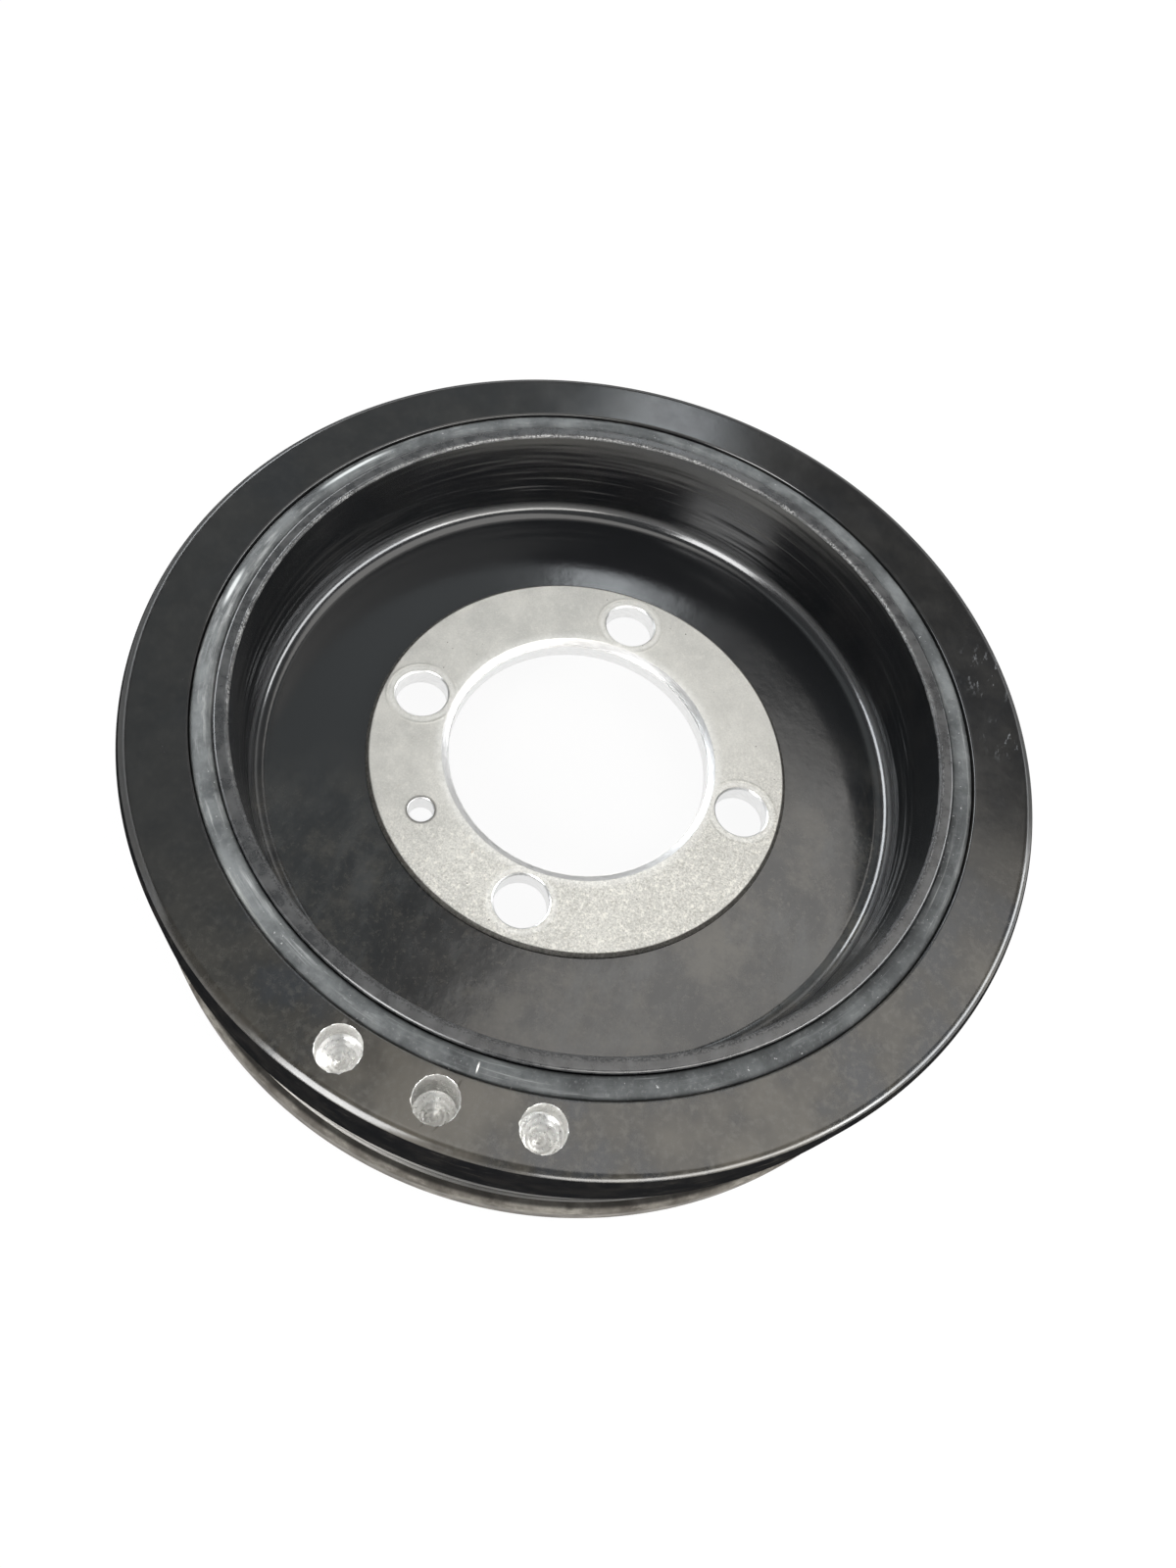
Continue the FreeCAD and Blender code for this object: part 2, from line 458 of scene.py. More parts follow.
def track_coat():
    """Coat of the belt track, given a soft gloss by the belt, with a painted highlight on the rib tips that is
    strongest on the left.
    """
    coat = Surface("black_coat_track")
    coat.set(Metallic=0.0, Specular_IOR_Level=0.5)
    clouds = coat.noise(6, 4, 0.6)
    tip = coat.ramp(coat.radius, RIB_RADIUS - 0.5, RIB_RADIUS - 0.25)
    base = coat.blend(coat.ramp(clouds, 0.4, 0.75), (0.006, 0.0062, 0.0066), (0.012, 0.0115, 0.011))
    # Light rib tips, partly belt wear, brightened as a painted highlight that fades from the left side to the
    # right.
    wear_and_painted_highlight = coat.product(tip, coat.ramp(coat.x, -20, 8, 1, 0.12))
    base = coat.blend(wear_and_painted_highlight, base, (0.3, 0.29, 0.27))
    coat.color(base)
    coat.roughness(coat.ramp(clouds, 0.3, 0.7, 0.28, 0.4))
    coat.bump((coat.noise(0.9, 2, 0.5, coat.ring_place(0.02, 0.6, 1.6), 1), 0.008))
    return coat.material


def rear_coat():
    """Rear flange: coat under a brownish grey film of dust, its light tone partly a painted reflection of the
    floor, lighter on its rounded shoulder, with painted shade at its foot and on the flat inward of the shoulder.
    """
    coat = Surface("black_coat_rear")
    coat.set(Metallic=0.0, Specular_IOR_Level=0.06)
    clouds = coat.noise(5, 5, 0.65)
    dust = coat.noise(1.4, 4, 0.7, coat.ring_place(0.35, 0, 1.2), 5)
    # Brownish grey dust tone, lightened as a painted reflection of the floor.
    base = coat.blend(coat.ramp(clouds, 0.35, 0.7), (0.045, 0.04, 0.034), (0.11, 0.102, 0.09))
    base = coat.blend(coat.ramp(dust, 0.45, 0.7, 0, 0.8), base, (0.19, 0.18, 0.16))
    # Painted shade: darker at the foot by the floor and on the flat inward of the rounded shoulder.
    low = coat.maths("MAXIMUM", coat.ramp(coat.z, RIM_REAR + 0.6, RIM_REAR + 1.6, 0.8, 0),
                     coat.ramp(coat.radius, RIM_RADIUS - 0.5, RIM_RADIUS - 0.95, 0, 0.75))
    base = coat.blend(low, base, (0.012, 0.0115, 0.011))
    coat.color(base)
    coat.roughness(coat.ramp(dust, 0.3, 0.7, 0.42, 0.6))
    coat.bump((coat.noise(0.8, 3, 0.65), 0.014))
    return coat.material


def cup_coat():
    """Glossier black coat in the cup: drawing marks round the wall, stains on the floor's lower part that also
    lighten it as a painted reflection.
    """
    coat = Surface("black_coat_cup")
    coat.set(Metallic=0.0, Specular_IOR_Level=0.85)
    wall = coat.ramp(coat.z, FLOOR_TOP + 0.8, FLOOR_TOP + 2.4)
    floor_share = coat.maths("SUBTRACT", 1.0, wall)
    stains = coat.noise(8, 6, 0.66, seed=2)
    streaky = coat.noise(5, 5, 0.65, coat.scaled(coat.place, (0.9, 0.45, 1)), 13)
    lower = coat.ramp(coat.maths("SUBTRACT", coat.maths("MULTIPLY", coat.x, 0.45), coat.y), -8, 34)
    base = coat.blend(coat.ramp(stains, 0.4, 0.75), (0.0022, 0.0025, 0.003), (0.0052, 0.0052, 0.0052))
    base = coat.blend(floor_share, base, (0.0075, 0.0082, 0.0092))
    # Stains, streaks, grain and specks only on the floor's near side, lightening it partly as a painted
    # reflection.
    stains_and_painted_reflection = coat.product(coat.ramp(stains, 0.42, 0.66), lower, floor_share)
    base = coat.blend(stains_and_painted_reflection, base, (0.064, 0.059, 0.049))
    streaks = coat.product(coat.ramp(streaky, 0.46, 0.66), lower, floor_share, 0.8)
    base = coat.blend(streaks, base, (0.05, 0.052, 0.052))
    grain = coat.product(coat.ramp(coat.noise(0.8, 4, 0.7, seed=17), 0.5, 0.72), lower, floor_share)
    base = coat.blend(coat.product(grain, 0.6), base, (0.075, 0.07, 0.06))
    specks = coat.product(coat.ramp(coat.noise(0.45, 2, 0.6, seed=7), 0.7, 0.76), lower, floor_share)
    base = coat.blend(coat.product(specks, 0.4), base, (0.11, 0.1, 0.085))
    coat.color(base)
    cloudy = coat.ramp(coat.noise(12, 3, 0.5, seed=6), 0.3, 0.7, 0.13, 0.18)
    corner = coat.near(coat.z, FLOOR_TOP + 1.9, 1.0)
    duller = coat.maths("ADD", coat.maths("MULTIPLY", corner, 0.4), coat.maths("MULTIPLY", wall, 0.04))
    coat.roughness(coat.maths("ADD", cloudy, duller))
    middle = coat.product(coat.ramp(coat.z, FLOOR_TOP + 2.2, FLOOR_TOP + 4.5), coat.ramp(coat.z, 10, 17, 1, 0.15))
    waves = coat.noise(1.4, 1, 0.5, coat.ring_place(0.06, 0.0, 1.0), 3)
    coat.bump((coat.product(waves, middle), 0.3), (coat.noise(1.2, 3, 0.55), 0.006),
              (coat.product(coat.noise(4.5, 4, 0.6, seed=3), floor_share), 0.03))
    return coat.material


def trimmed_coat():
    """The cup wall's trimmed end: coat over a rough sheared edge, abraded to bright steel in grains, with painted
    sparkle in those grains on one side and painted shade in its pits on the other.
    """
    coat = Surface("black_coat_trimmed_edge")
    coat.set(Specular_IOR_Level=0.85)
    inner_edge = coat.near(coat.radius, WALL_INNER_RADIUS + 0.2, 0.42)
    grains = coat.noise(0.34, 3, 0.7, seed=1)
    patches = coat.ramp(coat.noise(5, 2, 0.6), 0.35, 0.6)
    near_side = coat.ramp(coat.maths("ADD", coat.y, coat.maths("MULTIPLY", coat.x, -0.6)), -20, 8)
    # Bare steel grains, kept to one side as a painted sparkle.
    bare = coat.product(coat.ramp(grains, 0.46, 0.56), inner_edge, patches, near_side)
    pit_line = coat.near(coat.radius, WALL_INNER_RADIUS + 0.5, 0.5)
    # Painted shade: near-black pits along the inner edge on the other side.
    pits = coat.product(coat.ramp(grains, 0.53, 0.45), pit_line, coat.maths("SUBTRACT", 1.0, near_side))
    clouds = coat.noise(2.2, 5, 0.65)
    base = coat.blend(coat.ramp(clouds, 0.35, 0.7), (0.012, 0.0125, 0.0135), (0.045, 0.0455, 0.046))
    base = coat.blend(bare, base, (0.27, 0.27, 0.265))
    coat.color(coat.blend(pits, base, (0.0015, 0.0015, 0.0018)))
    coat.feed(coat.maths("MULTIPLY", bare, 0.4), coat.shader.inputs["Metallic"])
    coat.roughness(coat.maths("ADD", coat.ramp(clouds, 0.3, 0.7, 0.24, 0.34), coat.maths("MULTIPLY", pits, 0.6)))
    coat.bump((coat.product(grains, inner_edge), 0.22), (coat.noise(0.7, 3, 0.6), 0.012))
    return coat.material


def rubber_surface():
    """Dull rubber with a chalky bloom, light streaks, two painted highlight lines along its crown, crumbs and one
    upright nick.
    """
    rubber = Surface("rubber")
    rubber.set(Metallic=0.0, Specular_IOR_Level=0.35)
    streaks = rubber.noise(2.4, 5, 0.66, rubber.ring_place(0.3, 1.7, 0.5), 2)
    bloom = rubber.noise(6, 5, 0.65, seed=5)
    fine = rubber.noise(0.7, 4, 0.7, seed=21)
    clean = rubber.ramp(rubber.maths("SUBTRACT", rubber.x, rubber.y), 15, 70, 1, 0.6)
    base = rubber.blend(rubber.ramp(bloom, 0.35, 0.68), (0.05, 0.054, 0.056), (0.13, 0.138, 0.14))
    base = rubber.scaled(base, rubber.triple(clean))
    leftward = rubber.maths("ADD", rubber.x, rubber.maths("MULTIPLY", rubber.y, 0.25))
    chalk_side = rubber.ramp(leftward, -50, 0, 1, 0.22)
    drawn = rubber.noise(2.2, 4, 0.7, rubber.ring_place(0.11, 3.2, 0.5), 6)
    chalk = rubber.product(rubber.ramp(streaks, 0.47, 0.68), rubber.ramp(drawn, 0.4, 0.62), chalk_side)
    base = rubber.blend(chalk, base, (0.31, 0.32, 0.32))
    base = rubber.blend(rubber.product(rubber.ramp(drawn, 0.56, 0.7), 0.5), base, (0.27, 0.275, 0.27))
    base = rubber.blend(rubber.product(rubber.ramp(fine, 0.52, 0.75), 0.45), base, (0.2, 0.205, 0.205))
    # Painted highlight: two thin bright lines along the crown on the left.
    rub_marks_and_painted_highlight = rubber.product(rubber.near(rubber.radius, RIM_BORE_RADIUS - 1.3, 0.45),
                            rubber.maths("MAXIMUM", rubber.spot(153, 58.4, 9), rubber.spot(184, 58.4, 5)))
    base = rubber.blend(rubber.maths("MULTIPLY", rub_marks_and_painted_highlight, 1.8, True), base, (0.5, 0.52, 0.52))
    crumbs = rubber.ramp(rubber.noise(0.55, 2, 0.6, seed=8), 0.69, 0.73)
    base = rubber.blend(rubber.product(crumbs, 0.7), base, (0.4, 0.4, 0.4))
    aside = rubber.maths("ADD", rubber.x, rubber.maths("MULTIPLY", rubber.y, 0.0577))
    nick = rubber.product(rubber.near(aside, 0, 0.17), rubber.near(rubber.radius, 57.7, 0.9),
                          rubber.spot(273.3, 57.7, 3))
    base = rubber.blend(rubber.maths("MULTIPLY", nick, 1.5, True), base, (0.7, 0.7, 0.68))
    rubber.color(base)
    rubber.roughness(rubber.ramp(streaks, 0.3, 0.7, 0.5, 0.75))
    rubber.bump((rubber.noise(0.8, 3, 0.65), 0.04), (rubber.noise(5, 3, 0.5, seed=4), 0.1))
    return rubber.material


def bolt_hole_distance(surface):
    """How far a place is from the nearest bolt hole's axis; the four holes fold onto one."""
    across = surface.maths("ABSOLUTE", surface.x)
    along = surface.maths("ABSOLUTE", surface.y)
    far = surface.maths("SUBTRACT", surface.maths("MAXIMUM", across, along), BOLT_CIRCLE_RADIUS)
    near = surface.maths("MINIMUM", across, along)
    return surface.maths("SQRT", surface.maths("ADD", surface.maths("MULTIPLY", far, far),
                                               surface.maths("MULTIPLY", near, near)))


def plate_steel():
    """Bare steel, fine blasted: grainy with painted sparkle on its lower part, smoother above, with rub marks
    round the holes.
    """
    steel = Surface("bare_steel_plate")
    steel.set(Metallic=1.0)
    grain = steel.noise(0.3, 4, 0.7)
    coarse = steel.noise(0.75, 4, 0.65, seed=9)
    fine = steel.noise(0.14, 2, 0.6, seed=3)
    clouds = steel.noise(6, 5, 0.62, seed=6)
    lower = steel.ramp(steel.maths("SUBTRACT", steel.maths("MULTIPLY", steel.x, 0.6), steel.y), -2, 24, 0.22, 1)
    base = steel.blend(steel.ramp(clouds, 0.32, 0.68), (0.6, 0.592, 0.562), (0.7, 0.69, 0.655))
    # Painted sparkle: light and dark grains of the blasted face, only on the near side.
    base = steel.blend(steel.product(steel.ramp(grain, 0.5, 0.66), lower, 0.75), base, (0.96, 0.94, 0.87))
    base = steel.blend(steel.product(steel.ramp(grain, 0.49, 0.34), lower, 0.75), base, (0.38, 0.36, 0.31))
    base = steel.blend(steel.product(steel.ramp(coarse, 0.52, 0.66), lower, 0.6), base, (1.0, 0.98, 0.92))
    rub_marks_and_painted_highlight = steel.near(bolt_hole_distance(steel), BOLT_HOLE_RADIUS + 0.8, 0.6)
    bore_rub = steel.ramp(steel.radius, PLATE_BORE_RADIUS + 1.1, PLATE_BORE_RADIUS + 2.6, 1, 0)
    wear_and_painted_highlight = steel.product(steel.maths("MAXIMUM", rub_marks_and_painted_highlight, bore_rub), steel.ramp(coarse, 0.3, 0.6, 0.3, 1))
    base = steel.blend(steel.maths("MULTIPLY", wear_and_painted_highlight, 0.55), base, (0.93, 0.925, 0.9))
    dots = steel.ramp(steel.noise(0.6, 1, 0.5, seed=12), 0.765, 0.79)
    base = steel.blend(steel.maths("MULTIPLY", dots, 0.8), base, (0.1, 0.09, 0.08))
    # Painted shade: a dark ring round the dowel hole, standing in for the shade of its wall.
    away = steel.spot(DOWEL_ANGLE, BOLT_CIRCLE_RADIUS, 2 * DOWEL_RADIUS)
    outline = steel.near(away, 0.42, 0.16)
    base = steel.blend(steel.maths("MULTIPLY", outline, 0.75), base, (0.06, 0.055, 0.05))
    rust = steel.product(steel.ramp(steel.noise(1.2, 3, 0.6, seed=15), 0.68, 0.76), lower)
    base = steel.blend(steel.maths("MULTIPLY", rust, 0.4), base, (0.5, 0.36, 0.24))
    steel.color(base)
    steel.roughness(steel.ramp(clouds, 0.3, 0.7, 0.5, 0.6))
    steel.bump((steel.product(grain, lower), 0.06), (fine, 0.008),
               (steel.near(bolt_hole_distance(steel), BOLT_HOLE_RADIUS + 1.5, 0.35), 0.03))
    return steel.material


def plate_edge_steel():
    """The plate's outer bevel: darker grey as a painted reflection of the black cup, with painted shade along its
    foot.
    """
    steel = Surface("bare_steel_edge")
    steel.set(Metallic=1.0)
    grain = steel.noise(0.35, 4, 0.7, seed=5)
    # Painted shade: a near-black line where the bevel meets the cup floor.
    foot = steel.ramp(steel.z, FLOOR_TOP + 0.05, FLOOR_TOP + 0.3, 1, 0)
    base = steel.blend(steel.ramp(grain, 0.35, 0.65), (0.17, 0.163, 0.15), (0.36, 0.35, 0.325))
    steel.color(steel.blend(foot, base, (0.01, 0.01, 0.01)))
    steel.roughness(steel.ramp(grain, 0.3, 0.7, 0.5, 0.65))
    steel.bump((grain, 0.02))
    return steel.material


def machined_steel():
    """Bare steel of bevels and hole walls, cut with fine marks."""
    steel = Surface("bare_steel_cut")
    steel.set(Metallic=1.0)
    marks = steel.noise(0.5, 3, 0.6, steel.ring_place(0.4, 2.0, 3.0), 1)
    steel.color(steel.blend(steel.ramp(marks, 0.35, 0.7), (0.78, 0.78, 0.775), (0.9, 0.9, 0.895)))
    steel.roughness(steel.ramp(marks, 0.3, 0.7, 0.3, 0.42))
    steel.bump((marks, 0.02))
    return steel.material


def drilled_iron():
    """Fresh bright iron in the balance drillings, with the drill's turning marks on their cones."""
    iron = Surface("bare_iron_drilled")
    iron.set(Metallic=0.85)
    grain = iron.noise(0.4, 3, 0.6)
    away = None
    for angle, depth in DRILLINGS:
        turn = math.radians(angle)
        across = iron.maths("SUBTRACT", iron.x, DRILL_CIRCLE_RADIUS * math.cos(turn) + DRILL_MARKS_OFFSET[0])
        along = iron.maths("SUBTRACT", iron.y, DRILL_CIRCLE_RADIUS * math.sin(turn) + DRILL_MARKS_OFFSET[1])
        squares = iron.maths("ADD", iron.maths("MULTIPLY", across, across), iron.maths("MULTIPLY", along, along))
        away = iron.maths("MINIMUM", away, squares) if away else squares
    turns = iron.maths("MULTIPLY", iron.maths("SQRT", away), 2 * math.pi / DRILL_FEED)
    wander = iron.maths("MULTIPLY", iron.noise(2.2, 2, 0.5, seed=4), 7)
    marks = iron.maths("SINE", iron.maths("ADD", turns, wander))
    shine = iron.blend(iron.ramp(grain, 0.35, 0.7), (0.8, 0.795, 0.78), (0.92, 0.915, 0.9))
    iron.color(iron.blend(iron.ramp(marks, -1, 1, 0, 0.4), shine, (0.55, 0.54, 0.52)))
    iron.roughness(iron.ramp(grain, 0.3, 0.7, 0.26, 0.32))
    iron.bump((marks, 0.014))
    return iron.material


def groove_corners():
    """The belt track from front to rear: V grooves between narrow rib tips, with every edge a little rounded."""
    root_radius = RIB_RADIUS - GROOVE_DEPTH
    half_root = GROOVE_ROOT_WIDTH / 2
    half_mouth = half_root + GROOVE_DEPTH * math.tan(math.radians(GROOVE_ANGLE / 2))
    corners = []
    for groove in range(GROOVE_COUNT):
        centre = TRACK_FRONT - GROOVE_PITCH * (groove + 0.5)
        corners += [
            (RIB_RADIUS, centre + half_mouth, RIB_EDGE_RADIUS),
            (root_radius, centre + half_root, RIB_EDGE_RADIUS),
            (root_radius, centre - half_root, RIB_EDGE_RADIUS),
            (RIB_RADIUS, centre - half_mouth, RIB_EDGE_RADIUS),
        ]
    return corners


def balance_cutter(index, angle, depth, material):
    """A drill: straight wall, 118 degree point with feed marks, and a ragged lip where it enters the coat."""
    point_length = DRILL_RADIUS / math.tan(math.radians(DRILL_POINT_ANGLE / 2))
    shoulder = FRONT_FACE - depth
    section = [(0, shoulder - point_length)]
    for step in range(1, DRILL_POINT_STEPS):
        share = step / DRILL_POINT_STEPS
        ripple = DRILL_RIPPLE * math.cos(2 * math.pi * share * DRILL_RADIUS / DRILL_FEED)
        ripple *= min(1, 6 * (1 - share))
        section.append((share * DRILL_RADIUS, shoulder - point_length * (1 - share) + ripple))
    section.append((DRILL_RADIUS, shoulder))
    section.append((DRILL_RADIUS, FRONT_FACE - DRILL_LIP))
    section.append((DRILL_RADIUS + DRILL_LIP, FRONT_FACE))
    section.append((DRILL_RADIUS + DRILL_LIP, FRONT_FACE + CUTTER_PAST))
    section.append((0, FRONT_FACE + CUTTER_PAST))
    turn = math.radians(angle)
    place = (DRILL_CIRCLE_RADIUS * math.cos(turn), DRILL_CIRCLE_RADIUS * math.sin(turn), 0)

    def ragged(point):
        """Pushes the lip in and out a little, with a few longer burrs."""
        away = Vector((point.x - place[0], point.y - place[1], 0))
        if away.length <= DRILL_RADIUS + DRILL_LIP / 2:
            return point
        wild = noise.noise(Vector((point.x, point.y, index)) * 2.4)
        burr = DRILL_BURR * max(0.0, noise.noise(Vector((point.x, point.y, index + 7)) * 1.6) - 0.25) * 2
        return point + away.normalized() * (wild * DRILL_LIP + burr)
    return spindle("drill", section, place, HOLE_TURNS, material, ragged)


def through_cutter(radius, angle, low, high, bevel, material):
    """A round hole's cutter from below low to above high, widening through a bevel that ends at high."""
    section = [(0, low - CUTTER_PAST), (radius, low - CUTTER_PAST), (radius, high - bevel)]
    if bevel:
        section.append((radius + bevel * 0.35, high - bevel * 0.45))
        section.append((radius + bevel, high))
    section += [(radius + bevel, high + CUTTER_PAST), (0, high + CUTTER_PAST)]
    turn = math.radians(angle)
    place = (BOLT_CIRCLE_RADIUS * math.cos(turn), BOLT_CIRCLE_RADIUS * math.sin(turn), 0)
    return spindle("hole", section, place, HOLE_TURNS, material)


def fastener_cutters(low, high, bevel, material):
    cutters = [through_cutter(BOLT_HOLE_RADIUS, angle, low, high, bevel, material) for angle in BOLT_ANGLES]
    cutters.append(through_cutter(DOWEL_RADIUS, DOWEL_ANGLE, low, high, bevel / 2, material))
    return cutters


def make_grooved_rim():
    face, wall, track, rear, drilled = face_coat(), wall_coat(), track_coat(), rear_coat(), drilled_iron()
    section = rounded_section([
        (RIM_BORE_RADIUS, RIM_REAR, BORE_EDGE_RADIUS),
        (RIM_BORE_RADIUS, FRONT_FACE, BORE_EDGE_RADIUS),
        (RIM_RADIUS, FRONT_FACE, FRONT_EDGE_RADIUS),
        (RIM_RADIUS, TRACK_FRONT, RIB_EDGE_RADIUS),
        (RIB_RADIUS, TRACK_FRONT, 0),
        *groove_corners(),
        (RIB_RADIUS, TRACK_REAR, 0),
        (RIM_RADIUS, TRACK_REAR, REAR_FLANGE_EDGE_RADIUS),
        (RIM_RADIUS, RIM_REAR, REAR_EDGE_RADIUS),
    ])
    front_zone = FRONT_FACE - 0.32 * FRONT_EDGE_RADIUS

    def paint(radius, height):
        if height > front_zone or radius < RIM_BORE_RADIUS + 2 * BORE_EDGE_RADIUS:
            return 0
        if height > TRACK_FRONT:
            return 1
        return 2 if height > TRACK_REAR + 0.01 else 3
    rim = lathe("grooved_rim_finished", section, TURNS, [face, wall, track, rear, drilled], paint)
    cut(rim, [balance_cutter(index, angle, depth, drilled) for index, (angle, depth) in enumerate(DRILLINGS)])
    finish_surface(rim)
    dress_node(rim, "grooved_rim")


def rough_trim(point):
    """Makes the inner edge of the cup's rim uneven, as the shears left it."""
    radius = math.hypot(point.x, point.y)
    inward = max(0.0, 1 - abs(radius - WALL_INNER_RADIUS) / TRIM_WIDTH)
    edge = inward * max(0.0, 1 - abs(point.z - WALL_TOP) / TRIM_DEPTH)
    if edge == 0:
        return point
    drop = (0.5 + noise.noise(point * 0.9) + 0.5 * noise.noise(point * 2.3)) * TRIM_DROP * edge
    return point - Vector((0, 0, max(0.0, drop)))


def make_hub_cup():
    inside, trimmed, cut_steel = cup_coat(), trimmed_coat(), machined_steel()
    section = rounded_section([
        (BORE_RADIUS, FLOOR_BOTTOM, 0),
        (WALL_RADIUS, FLOOR_BOTTOM, OUTER_CORNER_RADIUS),
        (WALL_RADIUS, WALL_TOP, WALL_RIM_RADIUS),
        (WALL_INNER_RADIUS, WALL_TOP, WALL_RIM_RADIUS),
        (WALL_FOOT_RADIUS, FLOOR_TOP, INNER_CORNER_RADIUS),
        (BARE_RADIUS, FLOOR_TOP, 0),
        (BORE_RADIUS, FLOOR_TOP, 0),
    ])
    end_zone = WALL_TOP - WALL_RIM_RADIUS

    def paint(radius, height):
        if radius < BARE_RADIUS and height > FLOOR_BOTTOM:
            return 2
        return 1 if height > end_zone else 0
    cup = lathe("hub_cup_finished", section, TURNS, [inside, trimmed, cut_steel], paint, rough_trim)
    cut(cup, fastener_cutters(FLOOR_BOTTOM, FLOOR_TOP, 0, cut_steel))
    finish_surface(cup)
    dress_node(cup, "hub_cup")


def make_mounting_plate():
    flat, edge, cut_steel = plate_steel(), plate_edge_steel(), machined_steel()
    bevel_width, bevel_depth = PLATE_BORE_BEVEL
    section = rounded_section([
        (PLATE_BORE_RADIUS, FLOOR_TOP, 0),
        (PLATE_RADIUS, FLOOR_TOP, 0),
        (PLATE_RADIUS, PLATE_TOP - PLATE_EDGE_BEVEL, 0.15),
        (PLATE_RADIUS - PLATE_EDGE_BEVEL, PLATE_TOP, 0.3),
        (PLATE_BORE_RADIUS + bevel_width, PLATE_TOP, 0.3),
        (PLATE_BORE_RADIUS, PLATE_TOP - bevel_depth, 0.1),
    ])

    def paint(radius, height):
        if radius < PLATE_BORE_RADIUS + bevel_width - 0.1:
            return 2
        return 1 if radius > PLATE_RADIUS - PLATE_EDGE_BEVEL + 0.1 else 0
    plate = lathe("mounting_plate_finished", section, TURNS, [flat, edge, cut_steel], paint)
    cut(plate, fastener_cutters(FLOOR_TOP, PLATE_TOP, BOLT_HOLE_BEVEL, cut_steel))
    finish_surface(plate, 20)
    dress_node(plate, "mounting_plate")


def uneven_rubber(point):
    """Small swells and dips of the moulded end, none above the solid's crown."""
    if point.z < RUBBER_SHOULDER - 1:
        return point
    swell = RUBBER_SWELL * (0.5 + 0.5 * noise.noise(point * 0.22))
    return point - Vector((0, 0, swell + RUBBER_DIMPLE * noise.noise(point * 0.9)))


def make_rubber_ring():
    surface = rubber_surface()
    middle = (WALL_RADIUS + RIM_BORE_RADIUS) / 2
    half = (RIM_BORE_RADIUS - WALL_RADIUS) / 2
    section = []
    for step in range(RUBBER_STEPS + 1):
        across = 2 * step / RUBBER_STEPS - 1
        in_crease = max(0.0, (abs(across) - RUBBER_CREASE_START) / (1 - RUBBER_CREASE_START))
        height = RUBBER_SHOULDER + RUBBER_CROWN * (1 - across * across) - RUBBER_CREASE * in_crease ** 2
        section.append((middle + half * across, height))
    section.append((RIM_BORE_RADIUS, rubber_low.z))
    for step in range(1, RUBBER_STEPS):
        across = 1 - 2 * step / RUBBER_STEPS
        section.append((middle + half * across, rubber_low.z + RUBBER_HOLLOW * (1 - across * across)))
    section.append((WALL_RADIUS, rubber_low.z))
    rubber = lathe("rubber_ring_finished", section, TURNS, [surface], None, uneven_rubber)
    finish_surface(rubber, 50)
    dress_node(rubber, "rubber_ring")


def make_camera():
    """The photograph's camera: it looks down into the cup from close by, rolled a little."""
    data = bpy.data.cameras.new("camera")
    data.lens = CAMERA_LENS
    data.sensor_width = 36
    data.shift_x, data.shift_y = CAMERA_SHIFT
    data.clip_start = 0.005
    camera = bpy.data.objects.new("camera", data)
    turn = Matrix.Rotation(math.radians(CAMERA_AZIMUTH), 4, "Z")
    tilt = Matrix.Rotation(math.radians(90 - CAMERA_ELEVATION), 4, "X")
    roll = Matrix.Rotation(math.radians(CAMERA_ROLL), 4, "Z")
    camera.matrix_world = Matrix.Translation(Vector(CAMERA_PLACE) * MM) @ turn @ tilt @ roll
    bpy.context.scene.collection.objects.link(camera)
    bpy.context.scene.camera = camera


def make_floor():
    """A plain white floor. To the camera and in reflections it is nearly white, and it keeps a soft shadow."""
    side = FLOOR_HALF_SIDE
    level = RIM_REAR * MM
    mesh = bpy.data.meshes.new("floor")
    mesh.from_pydata([(-side, -side, level), (side, -side, level), (side, side, level), (-side, side, level)], [],
                     [(0, 1, 2, 3)])
    floor = bpy.data.objects.new("floor", mesh)
    bpy.context.scene.collection.objects.link(floor)
    material = bpy.data.materials.new("floor")
    material.use_nodes = True
    nodes, links = material.node_tree.nodes, material.node_tree.links
    nodes.clear()
    out = nodes.new("ShaderNodeOutputMaterial")
    mix = nodes.new("ShaderNodeMixShader")
    diffuse = nodes.new("ShaderNodeBsdfDiffuse")
    diffuse.inputs["Color"].default_value = (FLOOR_GREY, FLOOR_GREY, FLOOR_GREY, 1)
    glow = nodes.new("ShaderNodeEmission")
    glow.inputs["Color"].default_value = (1, 1, 1, 1)
    path = nodes.new("ShaderNodeLightPath")
    seen = path.outputs["Is Camera Ray"]
    for kind in ("Is Glossy Ray", "Is Transmission Ray"):
        either = nodes.new("ShaderNodeMath")
        either.operation = "MAXIMUM"
        links.new(seen, either.inputs[0])
        links.new(path.outputs[kind], either.inputs[1])
        seen = either.outputs[0]
    share = nodes.new("ShaderNodeMath")
    share.operation = "MULTIPLY"
    share.inputs[1].default_value = FLOOR_GLOW
    links.new(seen, share.inputs[0])
    links.new(share.outputs[0], mix.inputs[0])
    links.new(diffuse.outputs[0], mix.inputs[1])
    links.new(glow.outputs[0], mix.inputs[2])
    links.new(mix.outputs[0], out.inputs[0])
    mesh.materials.append(material)


def soft_box(name, radiance, width, height, color, place, turn=None):
    """A soft box at a place in metres. It looks straight down, turned round Z, or else faces the object."""
    data = bpy.data.lights.new(name, "AREA")
    data.shape = "RECTANGLE"
    data.size, data.size_y = width, height
    data.energy = radiance * math.pi * width * height
    data.color = color
    lamp = bpy.data.objects.new(name, data)
    lamp.location = place
    if turn is None:
        lamp.rotation_mode = "QUATERNION"
        lamp.rotation_quaternion = Vector(place).to_track_quat("Z", "Y")
    else:
        lamp.rotation_euler = (0, 0, math.radians(turn))
    bpy.context.scene.collection.objects.link(lamp)


def direction(azimuth, elevation, distance):
    """The place at a distance in metres from the object, in degrees round Z from +X and above the floor."""
    turn, rise = math.radians(azimuth), math.radians(elevation)
    return (distance * math.cos(turn) * math.cos(rise), distance * math.sin(turn) * math.cos(rise),
            distance * math.sin(rise))


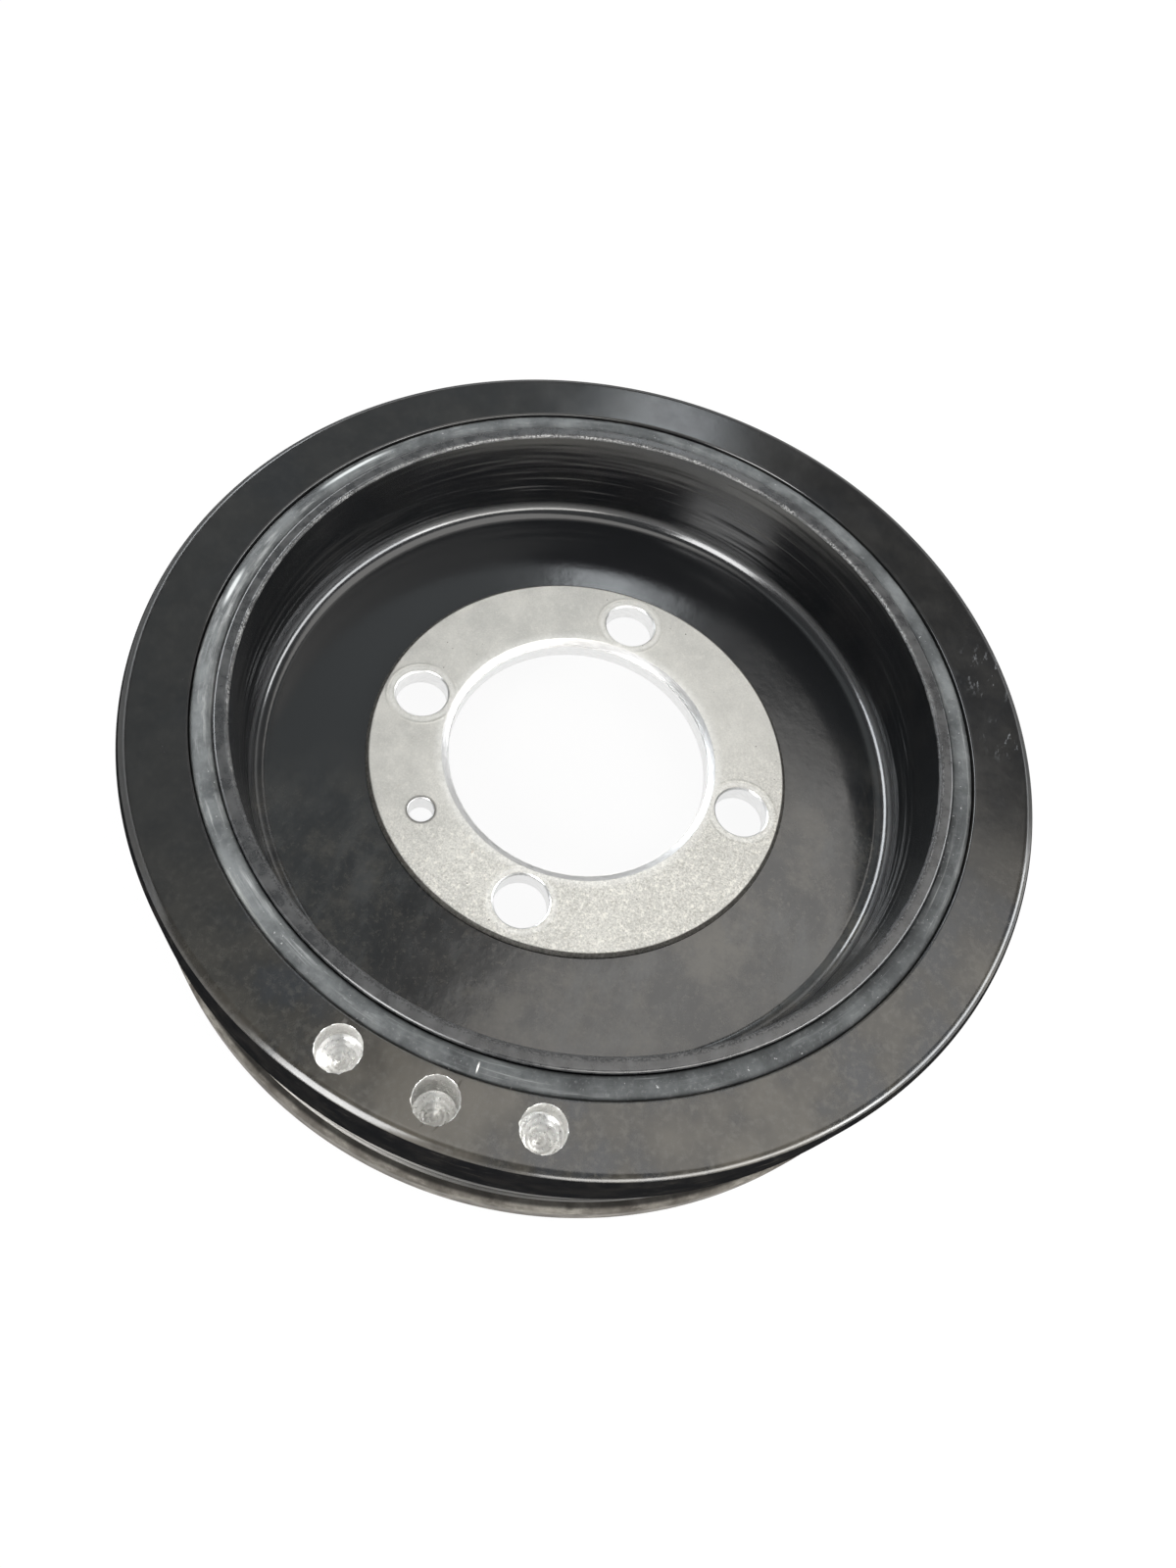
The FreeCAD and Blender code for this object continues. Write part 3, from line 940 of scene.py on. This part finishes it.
def make_lights():
    """A white room with a grey ceiling, a large warm soft box overhead, a dim one beside it and five windows."""
    world = bpy.data.worlds.new("world")
    bpy.context.scene.world = world
    world.use_nodes = True
    nodes, links = world.node_tree.nodes, world.node_tree.links
    nodes.clear()
    out = nodes.new("ShaderNodeOutputWorld")
    room = nodes.new("ShaderNodeBackground")
    way = nodes.new("ShaderNodeTexCoord")
    split = nodes.new("ShaderNodeSeparateXYZ")
    bands = nodes.new("ShaderNodeValToRGB")
    bands.color_ramp.interpolation = "EASE"
    steps = bands.color_ramp.elements
    steps[0].position, steps[0].color = 0.0, (0.2, 0.2, 0.2, 1)
    steps[1].position, steps[1].color = 1.0, (0.044, 0.044, 0.044, 1)
    for height, level in ((0.3, 0.2), (0.4, 0.1), (0.52, 0.05)):
        step = steps.new(height)
        step.color = (level, level, level, 1)
    room.inputs["Strength"].default_value = 5
    links.new(way.outputs["Generated"], split.inputs[0])
    links.new(split.outputs[2], bands.inputs[0])
    links.new(bands.outputs[0], room.inputs[0])
    links.new(room.outputs[0], out.inputs[0])
    soft_box("overhead", 1.85, 1.92, 1.98, (1.0, 0.975, 0.94), (0.8, 0.256, 2.0), -16.7)
    soft_box("left_fill", 0.26, 1.3, 2.6, (0.86, 0.97, 1.0), (-0.95, 1.3, 2.0), 0)
    soft_box("window", 4.6, 0.16, 0.4, (0.9, 0.96, 1.0), direction(95, 46, 1.6))
    soft_box("near_window", 13.0, 0.45, 0.8, (1.0, 1.0, 1.0), direction(250, 29, 1.2))
    soft_box("right_window", 9.0, 1.5, 0.32, (0.96, 0.98, 1.0), direction(10, 19, 1.2))
    soft_box("corner_window", 9.0, 1.3, 0.32, (1.0, 0.98, 0.94), direction(318, 19, 1.2))
    soft_box("left_window", 9.0, 1.3, 0.32, (0.92, 0.96, 1.0), direction(160, 19, 1.2))


make_camera()
make_floor()
make_lights()
make_hub_cup()
make_mounting_plate()
make_rubber_ring()
make_grooved_rim()
bpy.context.scene.view_settings.view_transform = "Standard"
